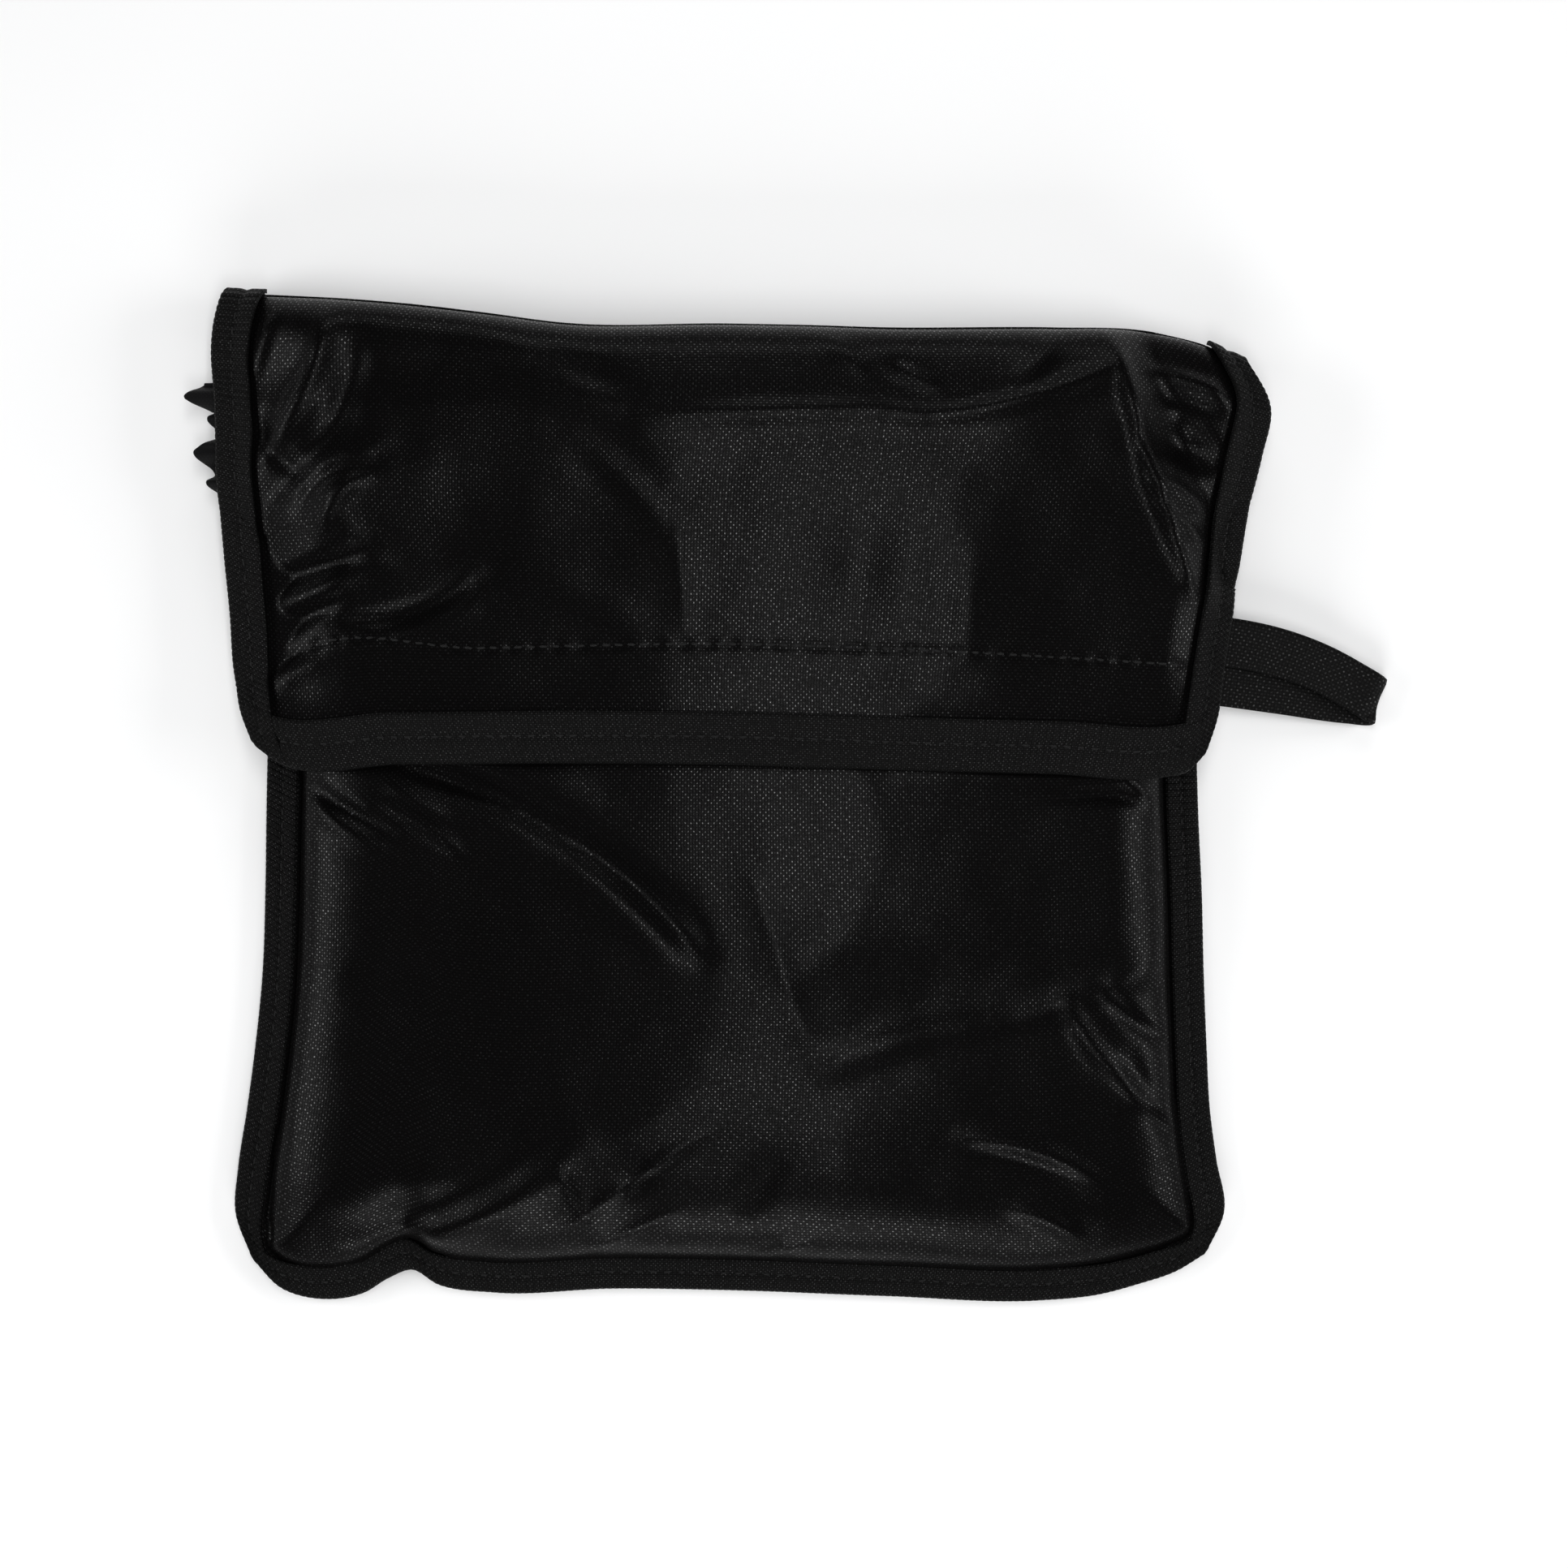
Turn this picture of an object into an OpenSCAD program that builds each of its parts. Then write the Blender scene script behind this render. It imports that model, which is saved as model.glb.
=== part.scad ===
// Folded film changing bag in its flap-top storage pouch.
// Millimetres. +Z up from the table, +Y towards the flap's fold, +X towards the hang loop.
// The origin is on the pouch's underside, at the middle of its width and length.

/* [Pouch] */
// Half of the pouch's width at its mouth, over the binding tape
mouth_hw = 118; // [100:1:150]
// Half of the pouch's width at its foot, over the binding tape
foot_hw = 125; // [104:1:158]
// Distance from the origin down to the pouch's foot
foot_len = 121; // [95:1:150]
// Distance from the origin up to the fold that the flap turns over
fold_y = 123.5; // [118:0.5:170]
// Distance from the origin up to the edge of the front panel, the pouch's mouth
mouth_y = 80; // [70:1:82]
// Distance below the origin at which the pouch starts to widen
flare_len = 40; // [20:1:60]
// Corner radius of the pouch's foot
corner_r = 22; // [18:1:30]
// Thickness of the coated nylon cloth
cloth_t = 0.6; // [0.4:0.1:0.8]
// Thickness of the lining cloth
lining_t = 0.3; // [0.2:0.1:0.4]
// Height of the front panel's underside above the table
front_z = 19.6; // [19.4:0.1:24]
// How far the front panel's skirt leans in over its height
skirt_lean = 6; // [3:0.5:8]

/* [Binding tape] */
// Width of the binding tape that shows on each face
tape_w = 9; // [8:0.5:12.7]
// Thickness of the binding tape
tape_t = 0.6; // [0.4:0.1:0.8]
// Depth of cloth that the binding tape grips
tape_grip = 6; // [4:0.5:8]
// Thickness of the tape's turned edge outside the seam
tape_turn = 0.8; // [0.5:0.1:1.2]

/* [Flap] */
// Half of the flap's width at the fold
flap_top_hw = 128; // [122:1:150]
// Half of the flap's width at its widest
flap_wide_hw = 129.5; // [123:0.5:151]
// Distance below the fold at which the flap is widest
flap_wide_drop = 28; // [15:1:40]
// Half of the flap's width by its free edge
flap_low_hw = 120.5; // [119.5:0.5:124]
// Distance above the free edge at which the flap stops narrowing
flap_taper_len = 34; // [20:1:50]
// Length of the flap from the fold to its free edge
flap_len = 110.5; // [90:0.5:120]
// Corner radius of the flap's free edge
flap_corner_r = 12; // [10:1:18]
// Height of the flap cloth's underside over the pack
flap_z = 23.2; // [23.2:0.1:30]
// Height of the flap's drooping side brim above the table
brim_z = 14; // [13.2:0.1:18]
// Width of the slope between the flap's flat top and its brim
brim_slope = 6; // [3:0.5:8]
// Width of the binding tape across the flap's free edge
free_tape_w = 12.7; // [9:0.1:16]

/* [Closure tapes] */
// Width of the hook and loop tapes
closure_w = 18; // [12:1:20]
// Length of the hook and loop tapes
closure_len = 196; // [120:1:202]
// Thickness of the hook tape and of the loop tape
closure_t = 1.1; // [0.8:0.1:1.2]
// Distance from the flap's free edge to the hook tape
closure_back = 14; // [13.5:0.5:20]

/* [Folded bag] */
// Half of the folded bag's width
pack_hw = 101; // [80:1:101]
// Distance from the origin down to the folded bag's lower edge
pack_foot = 103; // [80:1:103]
// Distance from the origin up to the folded bag's upper edge
pack_head = 106; // [100:1:112]
// Corner radius of the folded layers
pack_r = 9; // [5:1:15]
// Thickness of the lowest fold of the outer bag
outer_base_t = 4.6; // [3:0.1:4.6]
// Thickness of the lower fold of the inner bag
inner_base_t = 2.4; // [1.5:0.1:2.4]
// Thickness of a folded sleeve and its cuff
sleeve_t = 3.2; // [2:0.1:3.2]
// Thickness of the upper fold of the inner bag
inner_top_t = 1.5; // [1:0.1:1.5]
// Thickness of the outer bag's upper fold where the zip lies
outer_top_t = 3; // [3:0.1:3.2]
// Extra thickness of the outer bag's upper fold inside the pouch
outer_fold_t = 1.5; // [0.8:0.1:1.5]
// Gap between folded layers
layer_gap = 0.2; // [0.1:0.05:0.3]
// Length of cuff that shows past the folded bag's left edge
cuff_peek = 27; // [10:1:27]
// Width of a cuff along the sleeve's end
cuff_w = 22; // [16:1:24]
// Pitch of the gathers round a cuff
ruffle_pitch = 7.3; // [5:0.1:10]
// Depth of the gathers round a cuff
ruffle_depth = 2; // [1:0.1:3]

/* [Zips] */
// Half of the length of the zip's coil
zip_hl = 94; // [70:1:94]
// Height above the origin of the zip's centre line
zip_y = 97; // [93:1:99]
// Width of one zip tape
zip_tape_w = 8; // [6:0.5:8]
// Thickness of the zip tape
zip_tape_t = 0.6; // [0.4:0.1:0.8]
// Width of the zip's coil
coil_w = 2.8; // [2:0.1:3.5]
// Height of the zip's coil
coil_h = 1.3; // [1:0.1:1.5]
// Length of the zip slider
slider_len = 12; // [9:0.5:14]
// Width of the zip slider
slider_w = 8.6; // [7:0.1:10]
// Thickness of the zip slider's top plate
slider_t = 0.7; // [0.5:0.1:0.9]
// Running gap between the zip slider and the coil
slider_gap = 0.3; // [0.2:0.05:0.4]
// Length of the zip's pull tab from its swivel pin
pull_len = 22; // [15:0.5:24]
// Width of the zip's pull tab
pull_w = 7; // [5:0.5:8]
// Thickness of the zip's pull tab
pull_t = 0.6; // [0.5:0.1:0.7]
// Radius of the pin that the pull tab swivels on
pin_r = 1.0; // [0.7:0.1:1.3]
// Running gap between the swivel pin and the pull tab's hole
pin_gap = 0.2; // [0.1:0.05:0.3]

/* [Hang loop] */
// Length of the hang loop outside its bend
loop_len = 40; // [30:1:60]
// Width of the hang loop's two strands together at the root
loop_root_w = 21; // [18:0.5:26]
// Width of the hang loop's folded tip
loop_tip_w = 12.7; // [10:0.1:16]
// Thickness of the hang loop's webbing
web_t = 1.5; // [1:0.1:2]
// Height above the origin of the middle of the hang loop's root
loop_y = 39; // [30:1:45]
// Sideways drop of the hang loop's tip
loop_droop = 9; // [0:0.5:12]
// Width of the slit between the loop's strands
slit_w = 1.4; // [0.8:0.1:3]

/* [Hidden] */
$fn = 48;
body_gap = 0.3;
seam_z = tape_t;
grip_gap = 0.3;
back_plate_inset = tape_w + grip_gap;
grip_inset = tape_w - tape_grip;
front_low_inset = tape_w;
front_high_inset = tape_w + skirt_lean;
front_top_z = front_z + cloth_t;
binding_h = 2 * tape_t + 2 * cloth_t;
lining_inset = tape_w + cloth_t + 0.2;
pivot_low_z = seam_z + cloth_t / 2;
pivot_high_z = flap_z + cloth_t / 2;
hinge_reach = body_gap + cloth_t / 2;
foot_y = -foot_len;
flap_free_y = fold_y - flap_len;
flap_flat_hw = flap_low_hw - 12.5;
brim_hw = flap_flat_hw + brim_slope;
brim_binding_h = 2 * tape_t + cloth_t;
closure_y = flap_free_y + closure_back;
outer_base_z = seam_z + 2 * cloth_t;
inner_base_z = outer_base_z + outer_base_t + layer_gap;
sleeve_z = inner_base_z + inner_base_t + layer_gap;
inner_top_z = sleeve_z + sleeve_t + layer_gap;
outer_top_z = inner_top_z + inner_top_t + layer_gap;
zip_z = outer_top_z + outer_top_t;
coil_z = zip_z + zip_tape_t;
slider_z = coil_z + 0.3;
slider_top_z = coil_z + coil_h + slider_gap + slider_t;
inner_inset = 3;
pocket_h = 2.2;
pocket_w = 17;
inner_zip_hl = zip_hl - 8;
slider_x = zip_hl - 2 - 2 - slider_len / 2;
stop_len = 2;
pack_mouth_gap = 6;
sleeve_gap = 2;
elastic_t = 1.0;
elastic_w = 6;
cuff_y = pack_head - cuff_w - 2;
cuff_in = 14;
loop_pivot_x = flap_low_hw + tape_turn + 1.5;
loop_z = binding_h;
loop_pivot_z = loop_z + web_t / 2;
corner_steps = 6;

// An arc of points about centre c.
function arc(c, r, from, to) =
    [for (i = [0:corner_steps]) let (a = from + (to - from) * i / corner_steps) c + r * [cos(a), sin(a)]];

// A right half of an outline, from the bottom to the top, closed with its mirror image.
function both_sides(half) =
    concat(half, [for (i = [len(half) - 1:-1:0]) [-half[i][0], half[i][1]]]);

// The pouch seen from above, drawn in by d from the tape's seam edge, up to the height top.
function pouch_outline(d, top) =
    let (r = max(corner_r - d, 2), c = [foot_hw - d - r, foot_y + d + r])
    both_sides(concat(arc(c, r, -90, 0), [[mouth_hw - d, -flare_len], [mouth_hw - d, top]]));

// The flap seen from above, drawn in by d, up to the height top.
function flap_outline(d, top) =
    let (r = max(flap_corner_r - d, 2), c = [flap_low_hw - d - r, flap_free_y + d + r])
    both_sides(concat(arc(c, r, -90, 0), [[flap_low_hw - d, flap_free_y + flap_taper_len],
        [flap_wide_hw - d, fold_y - flap_wide_drop], [flap_top_hw - d, top]]));

// A folded layer seen from above.
function pack_outline(hw, low, high, r) =
    both_sides(concat(arc([hw - r, low + r], r, -90, 0), arc([hw - r, high - r], r, 0, 90)));

module plate(z, t) {
    translate([0, 0, z]) linear_extrude(t) children();
}

// A box from its lowest to its highest corner.
module block(low, high) {
    translate(low) cube(high - low);
}

// The pouch's outline below the point where it starts to widen.
function foot_outline(d) =
    let (r = max(corner_r - d, 2), c = [foot_hw - d - r, foot_y + d + r])
    both_sides(concat(arc(c, r, -90, 0), [[mouth_hw - d, -flare_len]]));

// The closed dome that the front panel or its lining follows, in a widening part and a straight one.
module dome(low_inset, high_inset, top_z, top) {
    skin = 0.02;
    low_z = seam_z + cloth_t;
    hull() {
        plate(low_z, skin) polygon(foot_outline(low_inset));
        plate(top_z - skin, skin) polygon(foot_outline(high_inset));
    }
    hull() {
        plate(low_z, skin) mouth_part(low_inset, top);
        plate(top_z - skin, skin) mouth_part(high_inset, top);
    }
}

module mouth_part(d, top) {
    translate([-mouth_hw + d, -flare_len]) square([2 * (mouth_hw - d), top + flare_len]);
}

// The flap's cross-section, flat on top with a slope to each brim, raised by low to high.
module hat(low, high, y0, y1) {
    bottom = [[-brim_hw, brim_z + low], [-flap_flat_hw, flap_z + low],
        [flap_flat_hw, flap_z + low], [brim_hw, brim_z + low]];
    rise = high - low;
    top = [for (i = [3:-1:0]) bottom[i] + [0, rise]];
    translate([0, y1, 0]) rotate([90, 0, 0]) linear_extrude(y1 - y0) polygon(concat(bottom, top));
}

module side_of(sign) {
    far = 400;
    intersection() {
        children();
        translate([sign > 0 ? brim_hw : -brim_hw - far, -far, -far]) cube([far, 2 * far, 2 * far]);
    }
}

/* Pouch */
module back_panel() {
    top = fold_y - hinge_reach;
    color("#1b1a1c") {
        plate(0, tape_t) polygon(pouch_outline(back_plate_inset, top));
        plate(seam_z, cloth_t) polygon(pouch_outline(grip_inset, top));
    }
}

module back_lining() {
    color("#26252a") plate(seam_z + cloth_t, lining_t)
        polygon(pouch_outline(lining_inset + lining_t + grip_gap, fold_y - 2));
}

module front_panel() {
    color("#1b1a1c") difference() {
        union() {
            plate(seam_z + cloth_t, cloth_t) polygon(pouch_outline(grip_inset, mouth_y));
            dome(front_low_inset, front_high_inset, front_top_z, mouth_y);
        }
        translate([0, 0, -0.01])
            dome(front_low_inset + cloth_t + 0.1, front_high_inset + cloth_t + 0.1, front_z + 0.01, mouth_y + 1);
    }
}

module front_lining() {
    gap = cloth_t + 0.15;
    color("#26252a") difference() {
        dome(front_low_inset + gap, front_high_inset + gap, front_z - 0.05, mouth_y - 0.5);
        translate([0, 0, -0.01]) dome(front_low_inset + gap + lining_t, front_high_inset + gap + lining_t,
            front_z - 0.04 - lining_t, mouth_y + 1);
    }
}

module mouth_binding() {
    hw = mouth_hw - front_high_inset - 0.5;
    color("#141416") block([-hw, mouth_y - tape_w, front_top_z], [hw, mouth_y, front_top_z + tape_t]);
}

module pouch_binding() {
    top = fold_y - hinge_reach;
    color("#141416") difference() {
        plate(0, binding_h) polygon(pouch_outline(-tape_turn, top));
        translate([0, 0, -1]) plate(0, binding_h + 2) polygon(pouch_outline(tape_w, top + 1));
        plate(tape_t, 2 * cloth_t) polygon(pouch_outline(grip_inset, top + 1));
    }
}

module pouch_binding_side(sign) {
    far = 400;
    intersection() {
        pouch_binding();
        translate([sign > 0 ? 0 : -far, foot_y + corner_r, -1]) cube([far, far, far]);
    }
}

module pouch_binding_left() { pouch_binding_side(-1); }
module pouch_binding_right() { pouch_binding_side(1); }
module pouch_binding_foot() {
    far = 400;
    intersection() {
        pouch_binding();
        translate([-far, foot_y + corner_r - far, -1]) cube([2 * far, far, far]);
    }
}

module loop_tape() {
    color("#202024") block([-closure_len / 2, closure_y, front_top_z],
        [closure_len / 2, closure_y + closure_w, front_top_z + closure_t]);
}

module hang_loop_tails() {
    color("#141416") block([mouth_hw - tape_w + 0.5, loop_y - loop_root_w / 2, loop_z],
        [loop_pivot_x - body_gap, loop_y + loop_root_w / 2, loop_z + web_t]);
}

/* Flap */
module riser_plate(y0, t, top_trim, low_z) {
    points = [[-flap_top_hw + grip_inset, low_z], [flap_top_hw - grip_inset, low_z],
        [flap_top_hw - grip_inset, brim_z], [brim_hw, brim_z], [flap_flat_hw, flap_z - top_trim],
        [-flap_flat_hw, flap_z - top_trim], [-brim_hw, brim_z], [-flap_top_hw + grip_inset, brim_z]];
    translate([0, y0 + t, 0]) rotate([90, 0, 0]) linear_extrude(t) polygon(points);
}

module flap_riser() {
    color("#1b1a1c") riser_plate(fold_y - cloth_t / 2, cloth_t, 0, pivot_low_z + body_gap);
}

module flap_riser_lining() {
    hw = flap_flat_hw - 2;
    color("#26252a") block([-hw, fold_y - cloth_t / 2 - lining_t, 4], [hw, fold_y - cloth_t / 2, flap_z - 2.5]);
}

module riser_binding(sign) {
    outer = flap_top_hw + tape_turn;
    inner = flap_top_hw - tape_w;
    y0 = fold_y - cloth_t / 2 - tape_t;
    y1 = fold_y + cloth_t / 2 + tape_t;
    color("#141416") difference() {
        mirror([sign > 0 ? 0 : 1, 0, 0]) block([inner, y0, 4], [outer, y1, brim_z - tape_t - 0.4]);
        riser_plate(fold_y - cloth_t / 2, cloth_t, 0, 1);
    }
}

module riser_binding_left() { riser_binding(-1); }
module riser_binding_right() { riser_binding(1); }

module flap_panel() {
    top = fold_y - hinge_reach;
    color("#1b1a1c") {
        hat(0, cloth_t, flap_free_y + grip_inset, top);
        for (sign = [-1, 1]) side_of(sign) plate(brim_z, cloth_t) polygon(flap_outline(grip_inset, top));
    }
}

module flap_lining() {
    color("#26252a") hat(-lining_t - 0.1, 0, flap_free_y + free_tape_w + 0.3, fold_y - hinge_reach - 1);
}

module flap_binding_side(sign) {
    top = fold_y - hinge_reach;
    color("#141416") side_of(sign) difference() {
        plate(brim_z - tape_t, brim_binding_h) polygon(flap_outline(-tape_turn, top));
        plate(brim_z - 1, brim_binding_h + 2) intersection() {
            polygon(flap_outline(tape_w, top + 1));
            square([2 * brim_hw + 6, 800], center = true);
        }
        plate(brim_z, cloth_t) polygon(flap_outline(grip_inset, top + 1));
    }
}

module flap_binding_left() { flap_binding_side(-1); }
module flap_binding_right() { flap_binding_side(1); }

module flap_binding_free() {
    color("#141416") difference() {
        hat(-tape_t, cloth_t + tape_t, flap_free_y - tape_turn, flap_free_y + free_tape_w);
        hat(0, cloth_t, flap_free_y + grip_inset, flap_free_y + free_tape_w + 1);
    }
}

module hook_tape() {
    z1 = flap_z - lining_t - 0.1;
    color("#202024") block([-closure_len / 2, closure_y, z1 - closure_t],
        [closure_len / 2, closure_y + closure_w, z1]);
}

/* Hang loop */
module hang_loop() {
    x0 = loop_pivot_x + web_t / 2 + body_gap;
    x1 = loop_pivot_x + loop_len;
    half = loop_root_w / 2;
    tip = loop_y - loop_droop;
    color("#141416") plate(loop_z, web_t) difference() {
        polygon([[x0, loop_y - half], [x1 - 14, tip - loop_tip_w / 2 + 1], [x1 - 4, tip - loop_tip_w / 2 - 0.5],
            [x1, tip + loop_tip_w / 2 - 2], [x1 - 12, tip + loop_tip_w / 2 + 3], [x0 + 10, loop_y + half - 1],
            [x0, loop_y + half]]);
        polygon([[x0 + 4, loop_y - slit_w / 2], [x0 + 16, loop_y - 2.5 - slit_w / 2],
            [x0 + 16, loop_y - 2.5 + slit_w / 2], [x0 + 4, loop_y + slit_w / 2]]);
    }
}

/* Folded changing bag */
module layer(z, t, inset) {
    plate(z, t) polygon(pack_outline(pack_hw - inset, -pack_foot + inset, pack_head - inset, pack_r));
}

module outer_bag_base() { color("#17171a") layer(outer_base_z, outer_base_t, 0); }
module inner_bag_base() { color("#202023") layer(inner_base_z, inner_base_t, inner_inset); }

module sleeve(sign) {
    x0 = sleeve_gap / 2;
    x1 = pack_hw - inner_inset;
    color("#17171a") mirror([sign > 0 ? 0 : 1, 0, 0])
        block([x0, -pack_foot + 8, sleeve_z], [x1, cuff_y, sleeve_z + sleeve_t]);
}

module sleeve_left() { sleeve(-1); }
module sleeve_right() { sleeve(1); }

// A gathered cuff: a flat block whose free end is a row of round gathers.
module cuff(x0, x1) {
    hem_r = ruffle_pitch / 2;
    count = floor(cuff_w / ruffle_pitch);
    mid_z = sleeve_z + sleeve_t / 2;
    color("#17171a") difference() {
        union() {
            block([x0 + ruffle_depth, cuff_y, sleeve_z], [x1, cuff_y + cuff_w, sleeve_z + sleeve_t]);
            for (i = [0:count - 1])
                translate([x0 + hem_r, cuff_y + hem_r + i * ruffle_pitch, sleeve_z]) cylinder(r = hem_r, h = sleeve_t);
        }
        block([x0 + 4, cuff_y + 1, mid_z - elastic_t / 2], [x0 + 4 + elastic_w, cuff_y + cuff_w - 1, mid_z + elastic_t / 2]);
    }
}

module cuff_left() { cuff(-pack_hw - cuff_peek + 0.5, -pack_hw + cuff_in); }
module cuff_right() { cuff(pack_hw - inner_inset - 46, pack_hw - inner_inset); }

module cuff_elastic(x0) {
    mid_z = sleeve_z + sleeve_t / 2;
    color("#303034") block([x0 + 4, cuff_y + 1, mid_z - elastic_t / 2],
        [x0 + 4 + elastic_w, cuff_y + cuff_w - 1, mid_z + elastic_t / 2]);
}

module cuff_elastic_left() { cuff_elastic(-pack_hw - cuff_peek + 0.5); }
module cuff_elastic_right() { cuff_elastic(pack_hw - inner_inset - 46); }

module inner_bag_top() { color("#202023") layer(inner_top_z, inner_top_t, inner_inset); }

module outer_bag_top() {
    color("#17171a") difference() {
        union() {
            layer(outer_top_z, outer_top_t, 0);
            intersection() {
                layer(outer_top_z, outer_top_t + outer_fold_t, 0);
                block([-pack_hw, -pack_foot, outer_top_z], [pack_hw, mouth_y - pack_mouth_gap, 60]);
            }
        }
        block([-inner_zip_hl - 3, zip_y - pocket_w / 2, outer_top_z - 1],
            [inner_zip_hl + 3, zip_y + pocket_w / 2 - 2, outer_top_z + pocket_h]);
    }
}

module inner_zip_tape() {
    color("#1a1a1d") block([-inner_zip_hl - 2, zip_y - 7, inner_top_z + inner_top_t],
        [inner_zip_hl + 2, zip_y + 5, inner_top_z + inner_top_t + 0.5]);
}

module inner_zip_coil() {
    z0 = inner_top_z + inner_top_t + 0.5;
    color("#101012") block([-inner_zip_hl, zip_y - 1 - coil_w / 2, z0], [inner_zip_hl, zip_y - 1 + coil_w / 2, z0 + 0.8]);
}

module inner_zip_slider() {
    z0 = inner_top_z + inner_top_t + 0.5;
    x0 = inner_zip_hl - slider_len - 2;
    color("#55565a") difference() {
        block([x0, zip_y - 5, z0], [x0 + slider_len, zip_y + 3, z0 + 1.5]);
        block([x0 - 1, zip_y - 1 - coil_w / 2 - 0.1, z0 - 1],
            [x0 + slider_len + 1, zip_y - 1 + coil_w / 2 + 0.1, z0 + 0.9]);
    }
}

module zip_tape_front() {
    color("#1a1a1d") block([-zip_hl - 3, zip_y - 0.1 - zip_tape_w, zip_z], [zip_hl + 3, zip_y - 0.1, zip_z + zip_tape_t]);
}

module zip_tape_rear() {
    color("#1a1a1d") block([-zip_hl - 3, zip_y + 0.1, zip_z], [zip_hl + 3, zip_y + 0.1 + zip_tape_w, zip_z + zip_tape_t]);
}

module zip_coil() {
    color("#101012") block([-zip_hl + stop_len, zip_y - coil_w / 2, coil_z],
        [zip_hl - stop_len, zip_y + coil_w / 2, coil_z + coil_h]);
}

module zip_stop(x0) {
    color("#55565a") block([x0, zip_y - coil_w / 2 - 0.6, coil_z], [x0 + stop_len, zip_y + coil_w / 2 + 0.6, coil_z + coil_h + 0.4]);
}

module zip_stop_open() { zip_stop(-zip_hl); }
module zip_stop_closed() { zip_stop(zip_hl - stop_len); }

// The slider runs over the coil in a channel, with a headed pin on top for the pull.
module zip_slider() {
    channel = coil_w / 2 + slider_gap;
    cap_z = slider_top_z + pull_t + 0.3;
    color("#55565a") difference() {
        union() {
            block([slider_x - slider_len / 2, zip_y - slider_w / 2, slider_z],
                [slider_x + slider_len / 2, zip_y + slider_w / 2, slider_top_z]);
            translate([slider_x, zip_y, slider_top_z]) cylinder(r = pin_r, h = pull_t + 0.3);
            translate([slider_x, zip_y, cap_z]) cylinder(r = pin_r + 0.6, h = 0.3);
        }
        block([slider_x - slider_len, zip_y - channel, slider_z - 1],
            [slider_x + slider_len, zip_y + channel, slider_top_z - slider_t]);
    }
}

module zip_pull() {
    z0 = slider_top_z + 0.15;
    head_r = pull_w / 2;
    color("#55565a") difference() {
        union() {
            translate([slider_x, zip_y, z0]) cylinder(r = head_r, h = pull_t);
            block([slider_x - pull_len, zip_y - pull_w / 2, z0], [slider_x, zip_y + pull_w / 2, z0 + pull_t]);
        }
        translate([slider_x, zip_y, z0 - 1]) cylinder(r = pin_r + pin_gap, h = pull_t + 2);
        translate([slider_x - pull_len + 5, zip_y, z0 - 1]) cylinder(r = 1.6, h = pull_t + 2);
    }
}

back_panel();
back_lining();
front_panel();
front_lining();
mouth_binding();
pouch_binding_left();
pouch_binding_right();
pouch_binding_foot();
loop_tape();
hang_loop_tails();
flap_riser();
flap_riser_lining();
riser_binding_left();
riser_binding_right();
flap_panel();
flap_lining();
flap_binding_left();
flap_binding_right();
flap_binding_free();
hook_tape();
hang_loop();
outer_bag_base();
inner_bag_base();
sleeve_left();
sleeve_right();
cuff_left();
cuff_right();
cuff_elastic_left();
cuff_elastic_right();
inner_bag_top();
outer_bag_top();
inner_zip_tape();
inner_zip_coil();
inner_zip_slider();
zip_tape_front();
zip_tape_rear();
zip_coil();
zip_stop_open();
zip_stop_closed();
zip_slider();
zip_pull();
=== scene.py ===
import math
import random

import bmesh
import bpy
import numpy as np
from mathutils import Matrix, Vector, noise


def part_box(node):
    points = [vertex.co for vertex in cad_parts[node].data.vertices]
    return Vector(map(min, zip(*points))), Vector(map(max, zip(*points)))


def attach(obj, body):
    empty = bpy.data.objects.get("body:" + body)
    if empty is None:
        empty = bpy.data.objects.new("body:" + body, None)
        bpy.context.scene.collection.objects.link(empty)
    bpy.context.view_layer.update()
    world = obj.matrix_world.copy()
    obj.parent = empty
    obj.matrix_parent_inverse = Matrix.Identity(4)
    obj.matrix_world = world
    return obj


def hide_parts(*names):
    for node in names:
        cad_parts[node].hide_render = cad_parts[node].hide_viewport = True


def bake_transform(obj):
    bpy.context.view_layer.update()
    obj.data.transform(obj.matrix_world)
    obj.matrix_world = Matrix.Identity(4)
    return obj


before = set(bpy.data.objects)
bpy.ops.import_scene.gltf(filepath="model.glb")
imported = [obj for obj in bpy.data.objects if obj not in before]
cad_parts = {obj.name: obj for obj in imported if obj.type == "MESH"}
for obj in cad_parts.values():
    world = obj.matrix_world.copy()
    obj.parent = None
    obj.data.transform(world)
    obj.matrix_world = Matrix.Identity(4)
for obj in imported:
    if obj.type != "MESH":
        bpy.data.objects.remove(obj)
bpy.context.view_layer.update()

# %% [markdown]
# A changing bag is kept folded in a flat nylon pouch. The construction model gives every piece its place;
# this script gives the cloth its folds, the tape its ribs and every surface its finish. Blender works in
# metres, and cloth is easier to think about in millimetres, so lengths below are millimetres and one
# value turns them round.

MM = 0.001


def lane(points):
    """A smooth function through given (place, value) pairs."""
    keys = np.array([p[0] for p in points], float)
    values = np.array([p[1] for p in points], float)
    slopes = np.gradient(values, keys)

    def at(place):
        place = np.clip(place, keys[0], keys[-1])
        i = np.clip(np.searchsorted(keys, place) - 1, 0, len(keys) - 2)
        step = keys[i + 1] - keys[i]
        u = (place - keys[i]) / step
        low, high = values[i], values[i + 1]
        lead = step * slopes[i] * (u**3 - 2 * u**2 + u)
        tail = step * slopes[i + 1] * (u**3 - u**2)
        return low * (2 * u**3 - 3 * u**2 + 1) + lead + tail + high * (3 * u**2 - 2 * u**3)

    return at


def ease(value, low, high):
    """0 below low, 1 above high, and an S-shaped way between."""
    u = np.clip((value - low) / (high - low), 0, 1)
    return u * u * (3 - 2 * u)


def soft_ramp(value, width):
    """0 for negative values, the value itself for large ones, bent over a short width."""
    return width * np.logaddexp(0, value / width)


print("curves and ramps are ready")

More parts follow.
